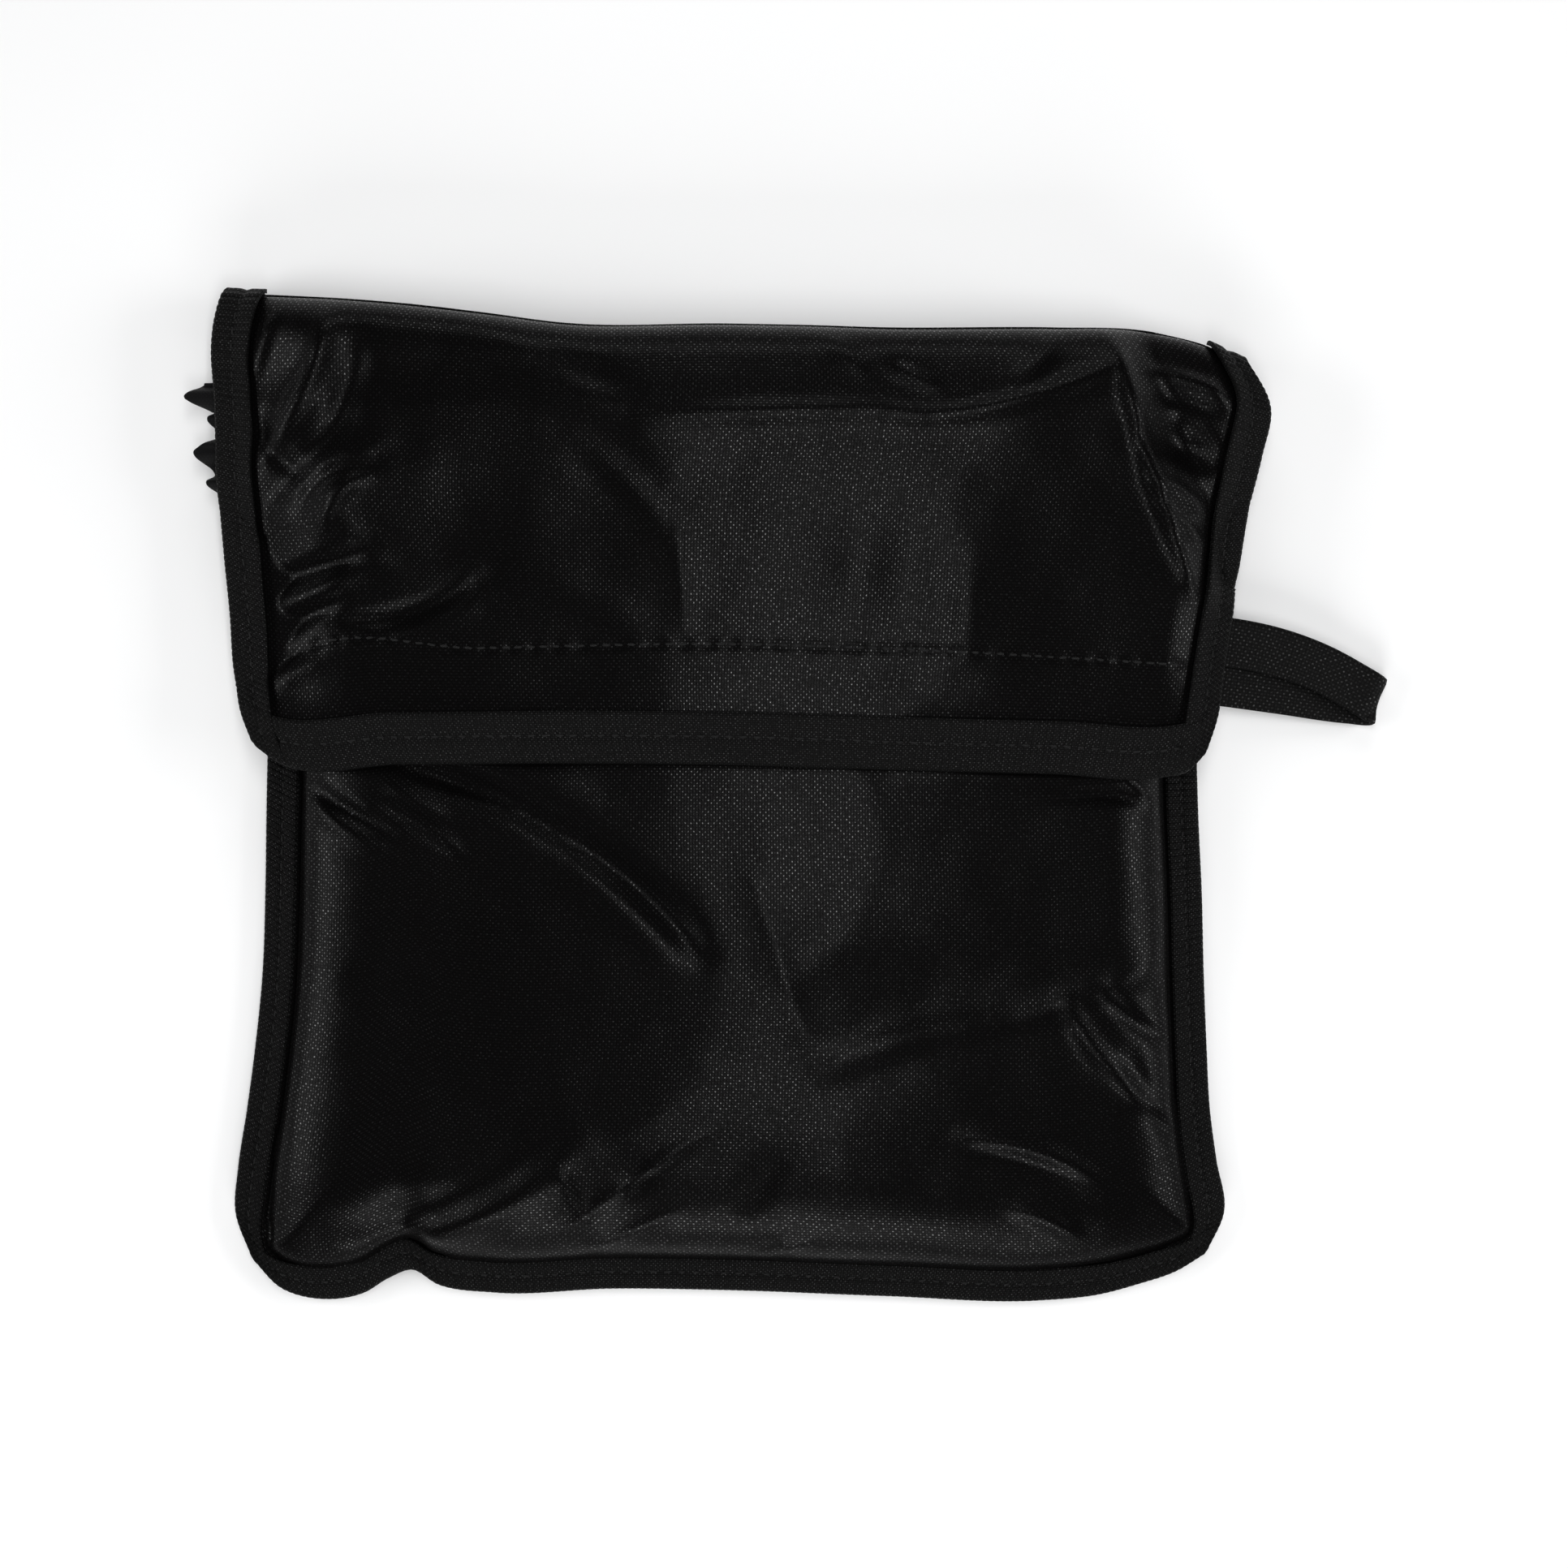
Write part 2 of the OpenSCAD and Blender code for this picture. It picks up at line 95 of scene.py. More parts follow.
# %% [markdown]
# The camera looks straight down on the pouch from about half a metre, as a product is shot from above. It
# and the cords would come first; this object has no free cord. A tall soft light hangs beside the camera,
# so that level cloth mirrors it as a bright band down the middle while cloth that leans to either side
# stays dark. Low soft lights around the table make the pale floor and the rims of the folds.

# %% Camera, floor and lights
CENTRE = (14.0, 8.0)
CAMERA_HEIGHT = 537
scene = bpy.context.scene
camera_data = bpy.data.cameras.new("camera")
camera_data.lens = 50
camera_data.sensor_width = 36
camera = bpy.data.objects.new("camera", camera_data)
camera.location = (CENTRE[0] * MM, CENTRE[1] * MM, (CAMERA_HEIGHT + 20) * MM)
scene.collection.objects.link(camera)
scene.camera = camera
scene.view_settings.view_transform = "Standard"


def soft_light(name, place, target, size, power):
    data = bpy.data.lights.new(name, "AREA")
    data.shape = "RECTANGLE"
    data.size, data.size_y = size[0] * MM, size[1] * MM
    data.energy = power
    light = bpy.data.objects.new(name, data)
    light.location = Vector(place) * MM
    aim = (Vector(target) - Vector(place)).to_track_quat("-Z", "Y")
    light.rotation_euler = aim.to_euler()
    scene.collection.objects.link(light)
    return light


soft_light("band_light", (36, 8, 600), (36, 8, 0), (120, 640), 2.0)
for side, (x, y) in {"left": (-900, 0), "right": (900, 0), "far": (0, 900), "near": (0, -900)}.items():
    soft_light("rim_light_" + side, (x, y, 420), (0, 0, 0), (700, 360), 2.1 if side == "far" else 4.7)
world = bpy.data.worlds.new("studio")
world.use_nodes = True
world.node_tree.nodes["Background"].inputs["Color"].default_value = (0.9, 0.93, 1.0, 1)
world.node_tree.nodes["Background"].inputs["Strength"].default_value = 0.05
scene.world = world

bpy.ops.mesh.primitive_plane_add(size=8)
floor = bpy.context.object
floor.name = "floor"
print("camera", CAMERA_HEIGHT, "mm above the table")

# %% [markdown]
# Every finish here is woven, so the materials share one builder. The weave is a bump and a slight change of
# colour that repeat at the thread's pitch; the colour is a painted highlight on the thread crests and painted
# shade in the gaps between them. It reads the piece's own UV map, which is in metres along the cloth, so the
# threads follow the cloth round its folds. A second, slow noise varies the colour, as dye and handling do.

# %% Woven materials
def new_material(name):
    material = bpy.data.materials.new(name)
    material.use_nodes = True
    tree = material.node_tree
    return material, tree, tree.nodes["Principled BSDF"]


def maths(tree, operation, *values):
    node = tree.nodes.new("ShaderNodeMath")
    node.operation = operation
    for socket, value in zip(node.inputs, values):
        if isinstance(value, (int, float)):
            socket.default_value = value
        else:
            tree.links.new(value, socket)
    return node.outputs[0]


def woven(name, colour, light, pitch, roughness, depth, sheen=0.0, specular=0.5, mottle=0.35, glint=0.0):
    """Warp and weft threads of one pitch in millimetres; glint is how much single threads shine."""
    material, tree, shader = new_material(name)
    uv = tree.nodes.new("ShaderNodeUVMap")
    uv.uv_map = "cloth"
    split = tree.nodes.new("ShaderNodeSeparateXYZ")
    tree.links.new(uv.outputs[0], split.inputs[0])
    turns = 2 * math.pi / (2 * pitch * MM)
    across = maths(tree, "MULTIPLY", split.outputs[0], turns)
    along = maths(tree, "MULTIPLY_ADD", split.outputs[1], turns, 0.0)
    warp = maths(tree, "ABSOLUTE", maths(tree, "SINE", across))
    weft = maths(tree, "ABSOLUTE", maths(tree, "SINE", along))
    over = maths(tree, "MULTIPLY", maths(tree, "SINE", across), maths(tree, "SINE", along))
    thread = maths(tree, "MULTIPLY_ADD", maths(tree, "MULTIPLY", warp, weft), 0.7,
        maths(tree, "MULTIPLY", over, 0.3))
    slow = tree.nodes.new("ShaderNodeTexNoise")
    slow.inputs["Scale"].default_value = 38
    slow.inputs["Detail"].default_value = 5
    tree.links.new(uv.outputs[0], slow.inputs["Vector"])
    fine = tree.nodes.new("ShaderNodeTexNoise")
    fine.inputs["Scale"].default_value = 900
    tree.links.new(uv.outputs[0], fine.inputs["Vector"])
    # The thread term paints the crests lighter and the gaps darker, a painted highlight and painted shade;
    # the slow noise is the dye's own mottle.
    mottle_and_crest_highlight = maths(tree, "MULTIPLY_ADD", slow.outputs["Fac"], mottle, maths(tree, "MULTIPLY", thread, 0.6))
    ramp = tree.nodes.new("ShaderNodeValToRGB")
    ramp.color_ramp.elements[0].color = (*colour, 1)
    ramp.color_ramp.elements[1].color = (*light, 1)
    tree.links.new(mottle_and_crest_highlight, ramp.inputs[0])
    tree.links.new(ramp.outputs[0], shader.inputs["Base Color"])
    rough = maths(tree, "MULTIPLY_ADD", thread, -0.12, roughness + 0.06)
    tree.links.new(maths(tree, "MULTIPLY_ADD", fine.outputs["Fac"], 0.08, rough), shader.inputs["Roughness"])
    bump = tree.nodes.new("ShaderNodeBump")
    bump.inputs["Strength"].default_value = 1.0
    bump.inputs["Distance"].default_value = depth * MM
    tree.links.new(thread, bump.inputs["Height"])
    tree.links.new(bump.outputs[0], shader.inputs["Normal"])
    shader.inputs["Specular IOR Level"].default_value = specular
    if glint:
        grain = tree.nodes.new("ShaderNodeTexNoise")
        grain.inputs["Scale"].default_value = 1100 / pitch
        tree.links.new(uv.outputs[0], grain.inputs["Vector"])
        caught = maths(tree, "MULTIPLY_ADD", grain.outputs["Fac"], 5.0, -2.2)
        caught = maths(tree, "MINIMUM", maths(tree, "MAXIMUM", caught, 0.0), 1.0)
        crest = maths(tree, "POWER", maths(tree, "MAXIMUM", thread, 0.0), 2.5)
        spark = maths(tree, "MULTIPLY", caught, crest)
        shine = maths(tree, "MULTIPLY_ADD", spark, glint, specular)
        tree.links.new(shine, shader.inputs["Specular IOR Level"])
    shader.inputs["Sheen Weight"].default_value = sheen
    shader.inputs["Sheen Roughness"].default_value = 0.4
    return material


NYLON = woven("black_nylon", (0.0010, 0.0009, 0.0009), (0.0040, 0.0037, 0.0038), 0.7, 0.26, 0.034,
    specular=0.04, glint=0.75)
LINING = woven("dark_lining", (0.012, 0.012, 0.014), (0.03, 0.03, 0.034), 0.5, 0.5, 0.03, sheen=0.05)
TAPE = woven("ribbed_tape", (0.0006, 0.0006, 0.0006), (0.0065, 0.0063, 0.0061), 0.55, 0.5, 0.12,
    sheen=0.004, mottle=0.3, specular=0.06, glint=0.8)
WEBBING = woven("loop_webbing", (0.0012, 0.0012, 0.0012), (0.009, 0.0088, 0.0086), 0.8, 0.55, 0.14,
    sheen=0.006, specular=0.06, glint=0.8)
BAG = woven("changing_bag_cloth", (0.0016, 0.0016, 0.0018), (0.007, 0.007, 0.0075), 0.45, 0.55, 0.04,
    sheen=0.01, specular=0.1)
THREAD = woven("sewing_thread", (0.003, 0.003, 0.003), (0.012, 0.012, 0.012), 0.25, 0.5, 0.03,
    sheen=0.04, specular=0.15)

floor_material, tree, shader = new_material("pale_floor")
shader.inputs["Base Color"].default_value = (0.95, 0.95, 0.95, 1)
shader.inputs["Roughness"].default_value = 0.9
floor.data.materials.append(floor_material)
print("woven materials:", [m.name for m in bpy.data.materials if m.use_nodes])

# %% [markdown]
# A cut piece of cloth is a patch with four edges. Each edge is a short list of places, and the patch
# between them is filled by blending the edges, as a cutter's grading table does. A height function then
# lifts the flat patch into folds. Tape and stitches use the same patch, so that they lie exactly on their
# cloth.

# %% The patch: four edges and a height
def along(points):
    """A smooth path through places, asked by the share of its length."""
    points = np.array(points, float)
    run = np.concatenate([[0], np.cumsum(np.linalg.norm(np.diff(points, axis=0), axis=1))])
    share = run / run[-1]
    lanes = [lane(list(zip(share, points[:, k]))) for k in range(2)]
    return lambda r: np.stack([lanes[0](r), lanes[1](r)], -1)


class Patch:
    """Cloth between four edges; s runs left to right and t from the near edge to the far one."""

    def __init__(self, near, far, left, right, height):
        self.near, self.far, self.left, self.right = along(near), along(far), along(left), along(right)
        self.height = height

    def flat(self, s, t):
        s, t = np.broadcast_arrays(np.asarray(s, float), np.asarray(t, float))
        u, v = s[..., None], t[..., None]
        a, b = self.near(np.array(0.0)), self.far(np.array(0.0))
        c, d = self.near(np.array(1.0)), self.far(np.array(1.0))
        ruled = (1 - v) * self.near(s) + v * self.far(s) + (1 - u) * self.left(t) + u * self.right(t)
        corners = (1 - u) * (1 - v) * a + u * (1 - v) * c + (1 - u) * v * b + u * v * d
        return ruled - corners

    def point(self, s, t):
        xy = self.flat(s, t)
        z = self.height(xy[..., 0], xy[..., 1])
        return np.concatenate([xy, z[..., None]], -1)

    def normal(self, s, t):
        step = 0.004
        ds = self.point(np.clip(s + step, 0, 1), t) - self.point(np.clip(s - step, 0, 1), t)
        dt = self.point(s, np.clip(t + step, 0, 1)) - self.point(s, np.clip(t - step, 0, 1))
        n = np.cross(ds, dt)
        return n / np.linalg.norm(n, axis=-1, keepdims=True)


def fold_line(x, y, start, end, width, height, bow=0.0, sharp=False):
    """A ridge, or a valley if height is negative, from start to end, bowed sideways at its middle."""
    start, end = np.array(start, float), np.array(end, float)
    way = end - start
    length = np.hypot(*way)
    u = ((x - start[0]) * way[0] + (y - start[1]) * way[1]) / length**2
    off = (-(x - start[0]) * way[1] + (y - start[1]) * way[0]) / length
    held = np.clip(u, 0, 1)
    off = off - bow * 4 * held * (1 - held)
    past = (u - held) * length
    taper = np.sin(np.pi * np.clip(held * 0.9 + 0.05, 0, 1)) ** 0.7
    gap = np.hypot(off, past)
    body = np.exp(-gap / width) if sharp else np.exp(-((gap / width) ** 2))
    return height * body * taper


def mound(x, y, centre, radii, height):
    return height * np.exp(-(((x - centre[0]) / radii[0]) ** 2) - ((y - centre[1]) / radii[1]) ** 2)


def ripple(x, y, scale, height, seed):
    """A slow, random rise and fall, the same on every run."""
    flat_x, flat_y = np.ravel(x) / scale, np.ravel(y) / scale
    values = [noise.noise(Vector((a, b, seed))) for a, b in zip(flat_x, flat_y)]
    return height * np.reshape(values, np.shape(x))


print("patch, fold, mound and ripple are ready")

# %% [markdown]
# The outlines. The pouch is a little wider at its foot, where the full bag has spread it, and its fold is
# not straight: over the pack the cloth is used up by going over the top, and beside the pack it reaches
# further.

# %% Outlines of the flap and the pouch
FLAP_FREE = [
    (-117.5, 18), (-112, 14.3), (-80, 13.8), (-40, 14), (0, 13.6), (40, 12.4), (80, 11.4), (108, 10.6),
    (114, 12), (118, 16),
]
FLAP_FOLD = [
    (-126, 131.5), (-100, 129.5), (-80, 127.5), (-60, 125), (-40, 122.5), (0, 122.5), (20, 122),
    (40, 121.2), (80, 121.2), (105, 121), (118, 118.5), (129, 114),
]
FLAP_LEFT = [
    (-117.5, 18), (-121, 26), (-123, 36), (-124, 50), (-125.5, 65), (-127, 85), (-127, 100),
    (-128, 115), (-126, 131.5),
]
FLAP_RIGHT = [
    (118, 16), (120.5, 24), (122, 34), (124, 46), (127, 62), (129.5, 77), (132.5, 90), (134.5, 101),
    (129, 114),
]
POUCH_LEFT = [
    (-121, -112.5), (-125, -101), (-124.3, -90), (-122, -75), (-120, -60), (-118, -40), (-117.3, -20),
    (-117, 0), (-116.5, 30), (-117, 60), (-120, 90), (-124, 115), (-126, 131.5),
]
POUCH_RIGHT = [
    (121, -111), (125.3, -101), (123.3, -88), (121.6, -75), (120.8, -60), (120, -40), (119.5, -20),
    (118.6, 0), (118, 30), (118.5, 60), (121, 85), (126, 103), (129, 114),
]
POUCH_FOOT = [
    (-121, -112.5), (-114, -119.5), (-103, -122.3), (-93, -120.6), (-87, -117), (-81, -114.8),
    (-74, -118.6), (-60, -120.6), (-30, -119.6), (0, -120), (40, -121.5), (80, -122.6), (94, -121.2),
    (104, -118.6), (114, -115.2), (121, -111),
]
MOUTH_Y = 80
MOUTH = [(-118.6, MOUTH_Y), (-60, MOUTH_Y), (60, MOUTH_Y), (120.5, MOUTH_Y)]


def edge_lane(points, axis):
    order = sorted(points, key=lambda p: p[axis])
    return lane([(p[axis], p[1 - axis]) for p in order])


flap_left, flap_right = edge_lane(FLAP_LEFT[:-1], 1), edge_lane(FLAP_RIGHT[:-1], 1)
pouch_left, pouch_right = edge_lane(POUCH_LEFT[1:], 1), edge_lane(POUCH_RIGHT[1:], 1)
fold_at, foot_at, free_at = edge_lane(FLAP_FOLD, 0), edge_lane(POUCH_FOOT, 0), edge_lane(FLAP_FREE, 0)
print("flap", round(float(flap_right(60) - flap_left(60))), "mm wide at its middle")

# %% [markdown]
# The pack under the cloth is level along the middle and leans away to both sides. Where the level part
# ends is a line that wanders, and that line is what the eye reads as the edge of the bright band.

# %% The crown of the pack
LEVEL_LEFT = lane([
    (-120, -44), (-100, -40), (-85, -34), (-70, -12), (-55, -5), (-30, -4), (-5, -12), (12, -15),
    (40, -13), (60, -13), (78, -13), (92, -20), (104, -34), (122, -62),
])
LEVEL_RIGHT = lane([
    (-120, 30), (-80, 28), (-60, 27), (-45, 14), (-28, 30), (-12, 37), (5, 35), (14, 31), (30, 50),
    (45, 58), (62, 60), (80, 55), (92, 66), (104, 88), (122, 96),
])


def crown(x, y, lean_left, lean_right):
    left = soft_ramp(LEVEL_LEFT(y) - x, 1.2) * lean_left
    right = soft_ramp(x - LEVEL_RIGHT(y), 1.2) * lean_right
    return -left - right


RIM_Z = 2.3


def front_height(x, y):
    """Height of the front panel, from its flat rim up over the pack."""
    inset_left, inset_right = x - pouch_left(y), pouch_right(y) - x
    inset_foot = y - foot_at(x)
    top = 25 - 1.8 * ease(y, 9, 24) + crown(x, y, 0.12, 0.115) - 0.0006 * (y + 20) ** 2 * (y < -20)
    z = top
    for inset, rim, reach in ((inset_left, 8.5, 20), (inset_right, 8.0, 17), (inset_foot, 7.5, 26)):
        u = np.clip((inset - rim) / reach, 0, 1)
        z = np.minimum(z, RIM_Z + 0.65 + (top - RIM_Z - 0.65) * np.sqrt(1 - (1 - u) ** 2.2))
    open_part = 1 - ease(y, 8, 22)
    inset = np.minimum(np.minimum(inset_left, inset_right), inset_foot)
    return z + front_folds(x, y) * open_part * ease(inset, 7, 14)


# Each fold is its start, its end, its width and its height, then its bow and whether its crest is sharp.
FRONT_FOLDS = [
    ((-92, 16), (-44, -2), 3.2, -3.0, 2.0), ((-48, 0), (-6, -34), 3.6, -3.2, 3.0),
    ((-80, 18), (-30, 2), 5, 1.4, 2), ((-40, -12), (-12, -36), 5, 1.2, 2),
    ((-106, 9), (-84, -4), 2.2, -1.8, -1), ((-86, 3), (-66, -9), 2.0, -1.6, 1),
    ((-104, 3), (-84, -9), 2.2, 1.0, -1), ((-84, 7), (-70, 0), 1.6, 1.0),
    ((-92, -112), (-36, -82), 5.0, 2.4, -3), ((-100, -104), (-46, -84), 5.0, -1.6, -3),
    ((-42, -86), (-34, -101), 2.0, 1.5, 0, True), ((-40, -103), (-6, -78), 2.2, 1.5, 1, True),
    ((-38, -110), (-12, -97), 2.0, 1.2, 0, True), ((-26, -92), (-18, -86), 3, -1.2),
    ((2, -98), (14, -84), 4, -1.0), ((6, -112), (20, -106), 2.2, 1.2), ((10, -106), (14, -114), 2, -1),
    ((24, -62), (64, -51), 4.0, 1.6, 2), ((60, -52), (108, -37), 3.5, 1.5, -2),
    ((58, -79), (92, -90), 2.4, 1.6, 2), ((62, -84), (90, -95), 3.2, -1.2, 2),
    ((70, -97), (88, -106), 2.2, 1.4, 1), ((84, -46), (116, -78), 2.6, 1.8, -4),
    ((92, -42), (114, -58), 2.2, -1.4, -2), ((100, -60), (116, -84), 2.6, -1.4, -2),
    ((44, 12), (98, 9), 3.0, 1.5, -1), ((82, 5), (108, 4), 2.4, -1.6, 1),
    ((96, 12), (110, 0), 2.0, 1.3), ((-96, -38), (-60, -52), 6, -0.8, -2),
    ((-106, -70), (-60, -78), 6, 0.8, 3), ((6, -14), (20, -56), 4, 0.7, 0, True),
]
FLAP_FOLDS = [
    ((-84, 93), (-82, 60), 5, 1.2, -13), ((-98, 121), (-118, 86), 3.2, 2.6, 3),
    ((-90, 116), (-116, 78), 4.0, -2.4, 6), ((-112, 124), (-120, 106), 2.0, 1.4),
    ((-118, 99), (-104, 84), 2.6, -1.6, -2), ((-120, 58), (-88, 66), 2.6, -2.2, -1),
    ((-118, 52), (-92, 59), 2.4, 1.4, -1), ((-116, 43), (-96, 53), 2.2, -1.8, 1),
    ((-97, 49), (-62, 60), 3.0, -2.2, -4), ((-96, 44), (-60, 54), 3.4, 1.0, -4),
    ((-106, 76), (-86, 86), 2.2, -1.8, 3), ((-100, 70), (-88, 82), 2.0, 1.1, 2),
    ((-60, 62), (-18, 44), 5, 0.7, 3), ((-70, 108), (-16, 78), 7, -1.0, 4),
    ((-36, 92), (-14, 70), 3.4, 0.9, 1), ((-20, 96), (46, 98), 3.0, 1.5, 1),
    ((40, 97), (96, 111), 2.6, 1.8, -4), ((96, 112), (117, 52), 2.4, 2.2, -2),
    ((100, 94), (122, 88), 5.0, -4.0, 1), ((104, 82), (120, 74), 2.4, 2.0, 1),
    ((106, 76), (120, 66), 2.0, 1.6), ((104, 110), (126, 102), 2.4, 2.0, 1),
    ((104, 104), (124, 98), 2.4, -1.4, 1), ((40, 110), (52, 104), 2.4, -1.2),
    ((70, 104), (80, 116), 3, 1.0), ((-44, 112), (-24, 104), 4, -1.0), ((24, 118), (34, 108), 3, 0.9),
    ((-118, 30), (-100, 38), 2.6, 1.2, 1), ((60, 60), (58, 40), 4, 0.6),
    ((-12, 72), (-10, 44), 3, 0.7, 0, True),
]
FLAP_MOUNDS = [
    ((-90, 76), (19, 18), 3.4), ((32, 58), (8, 15), -1.1), ((50, 31), (13, 6), -0.6),
]
seam_at = lane([(-116, 36), (-108, 40.5), (-60, 41.4), (0, 42), (60, 40), (118, 37)])


def folds(x, y, rows):
    """Many folds added together."""
    return sum(fold_line(x, y, *row) for row in rows)


def front_folds(x, y):
    return folds(x, y, FRONT_FOLDS) + ripple(x, y, 26, 0.9, 3.1) + ripple(x, y, 9, 0.16, 8.2)


def flap_folds(x, y):
    z = folds(x, y, FLAP_FOLDS) + sum(mound(x, y, *row) for row in FLAP_MOUNDS)
    seam = y - seam_at(x)
    pull = 1 + 0.35 * np.sin(x * 0.9 + 2 * np.sin(x * 0.13))
    z -= 0.55 * np.exp(-((seam / 1.3) ** 2)) * pull
    return z + ripple(x, y, 24, 0.8, 5.7) + ripple(x, y, 8, 0.14, 1.4)


FOLD_MID = lane([(-130, 7), (-112, 9), (-90, 12), (0, 13), (95, 13), (112, 10), (134, 8)])


def flap_height(x, y):
    inset_left, inset_right = x - flap_left(y), flap_right(y) - x
    inset_fold = np.maximum(fold_at(x) - y, 0)
    wide = 0.12 - 0.045 * ease(y, 62, 88)
    top = 27.6 + 2.0 * ease(y, 20, 84) + crown(x, y, wide, wide - 0.005)
    top -= 7.0 * ease(x - (96 + (112 - y) * 0.36), -2, 12) * ease(y, 46, 62)
    for inset, reach, drop in ((inset_left, 30, 8.5), (inset_right, 16, 5.0)):
        top -= drop * (1 - ease(inset, 0, reach)) * ease(y, 16, 50)
    top -= 2.0 * ease(y, 99, 112)
    ends = ease(np.minimum(inset_left, inset_right), 6, 14)
    top = top + flap_folds(x, y) * ends * ease(y - free_at(x), 11, 19)
    round_off = 17.0
    u = np.clip(inset_fold / round_off, 0, 1)
    mid = FOLD_MID(x)
    top = np.maximum(top, mid + 3)
    return mid + (top - mid) * np.sqrt(1 - (1 - u) ** 2.4)


def back_height(x, y):
    inset_fold = np.maximum(fold_at(x) - y, 0)
    u = np.clip(inset_fold / 13.0, 0, 1)
    mid = FOLD_MID(x)
    inset = np.minimum(np.minimum(x - pouch_left(y), pouch_right(y) - x), y - foot_at(x))
    low = 0.75 + (RIM_Z - 0.75) * (1 - ease(inset, 7, 13))
    return mid - (mid - low) * np.sqrt(1 - (1 - u) ** 2.4)


FLAP = Patch(FLAP_FREE, FLAP_FOLD, FLAP_LEFT, FLAP_RIGHT, flap_height)
BACK = Patch(POUCH_FOOT, FLAP_FOLD, POUCH_LEFT, POUCH_RIGHT, back_height)
FRONT = Patch(POUCH_FOOT, MOUTH, [p for p in POUCH_LEFT if p[1] < MOUTH_Y] + [MOUTH[0]],
    [p for p in POUCH_RIGHT if p[1] < MOUTH_Y] + [MOUTH[-1]], front_height)
print("height of the flap at its middle", round(float(FLAP.point(0.5, 0.5)[2]), 1), "mm")

# %% [markdown]
# A sheet is a grid of points on its patch, then a Solidify modifier gives the cloth its thickness. The UV
# map is the flat cloth in metres, so the weave keeps its pitch.

# %% Building sheets
def deselect():
    for other in bpy.context.selected_objects:
        other.select_set(False)


def mesh_piece(name, vertices, faces, material, uvs=None):
    mesh = bpy.data.meshes.new(name)
    mesh.from_pydata([tuple(v) for v in np.asarray(vertices) * MM], [], [tuple(f) for f in faces])
    mesh.materials.append(material)
    layer = mesh.uv_layers.new(name="cloth")
    if uvs is not None:
        loops = np.zeros(len(mesh.loops), np.int64)
        mesh.loops.foreach_get("vertex_index", loops)
        layer.data.foreach_set("uv", (np.asarray(uvs)[loops] * MM).ravel().astype(np.float32))
    mesh.shade_smooth()
    piece = bpy.data.objects.new(name, mesh)
    scene.collection.objects.link(piece)
    return piece


def apply_modifier(piece, kind, **settings):
    deselect()
    bpy.context.view_layer.objects.active = piece
    piece.select_set(True)
    modifier = piece.modifiers.new(kind.lower(), kind)
    for key, value in settings.items():
        setattr(modifier, key, value)
    bpy.ops.object.modifier_apply(modifier=modifier.name)
    piece.select_set(False)


def grid_faces(rows, columns):
    r, c = np.meshgrid(np.arange(rows - 1), np.arange(columns - 1), indexing="ij")
    a = (r * columns + c).ravel()
    return np.stack([a, a + 1, a + columns + 1, a + columns], -1)


def cloth_sheet(name, patch, step, thick, material, lift=0.0, s_range=(0, 1), t_range=(0, 1)):
    """Cloth over part of a patch, lifted along the patch's own normal."""
    ends = patch.point(np.array([0.0, 1.0, 0.5, 0.5]), np.array([0.5, 0.5, 0.0, 1.0]))
    width, length = np.linalg.norm(ends[1] - ends[0]), np.linalg.norm(ends[3] - ends[2])
    columns = int(width * (s_range[1] - s_range[0]) / step) + 2
    rows = int(length * (t_range[1] - t_range[0]) / step) + 2
    s, t = np.meshgrid(np.linspace(*s_range, columns), np.linspace(*t_range, rows))
    points = patch.point(s, t)
    if lift:
        points = points + patch.normal(s, t) * lift
    piece = mesh_piece(name, points.reshape(-1, 3), grid_faces(rows, columns), material,
        np.stack([s.ravel() * width, t.ravel() * length], -1))
    apply_modifier(piece, "SOLIDIFY", thickness=thick * MM, offset=-1)
    print(name, len(piece.data.polygons), "faces,", round(width), "x", round(length), "mm")
    return piece


# %% [markdown]
# The pouch is three pieces of cloth: the flap, the front panel and the back panel that runs up to the
# fold. The flap has the finest grid, because it has the most wrinkles.

# %% The pouch's cloth
CLOTH_THICK = 0.6
flap_cloth = cloth_sheet("flap_cloth", FLAP, 0.9, CLOTH_THICK, NYLON)
front_cloth = cloth_sheet("front_cloth", FRONT, 1.05, CLOTH_THICK, NYLON)
back_cloth = cloth_sheet("back_cloth", BACK, 1.7, CLOTH_THICK, NYLON)

# %% [markdown]
# Binding tape is folded over the cut edge and sewn through. It is a strip with a C-shaped section that
# follows the edge of its patch. Grosgrain has ribs across it, and they are real here: the section swells
# and shrinks once for each rib. A shallow groove shows where the stitching pulls it down.

# %% Binding tape
RIB_PITCH = 1.65


def side_places(side, r):
    """The shares (s, t) of places along one side of a patch."""
    return {"left": (0 * r, r), "right": (1 + 0 * r, r), "near": (r, 0 * r), "far": (r, 1 + 0 * r)}[side]


def tape_points(patch, side, r, inward, rise):
    """Points at shares r along a side, each at some distance inwards and above the cloth."""
    if side in ("left", "right"):
        span = np.linalg.norm(patch.flat(1.0 + 0 * r, r) - patch.flat(0 * r, r), axis=-1)
        share = np.clip(inward, 0, None) / span
        s, t = (share, r) if side == "left" else (1 - share, r)
    else:
        span = np.linalg.norm(patch.flat(r, 1.0 + 0 * r) - patch.flat(r, 0 * r), axis=-1)
        share = np.clip(inward, 0, None) / span
        s, t = (r, share) if side == "near" else (r, 1 - share)
    base = patch.point(s, t)
    n = patch.normal(s, t)
    edge_s, edge_t = side_places(side, r)
    step = 0.02
    inner_s = np.clip(edge_s + (step if side == "left" else -step if side == "right" else 0), 0, 1)
    inner_t = edge_t + (step if side == "near" else -step if side == "far" else 0)
    way = patch.point(inner_s, inner_t) - patch.point(edge_s, edge_t)
    way = way / np.linalg.norm(way, axis=-1, keepdims=True)
    return base + n * rise[..., None] + way * np.minimum(inward, 0)[..., None]


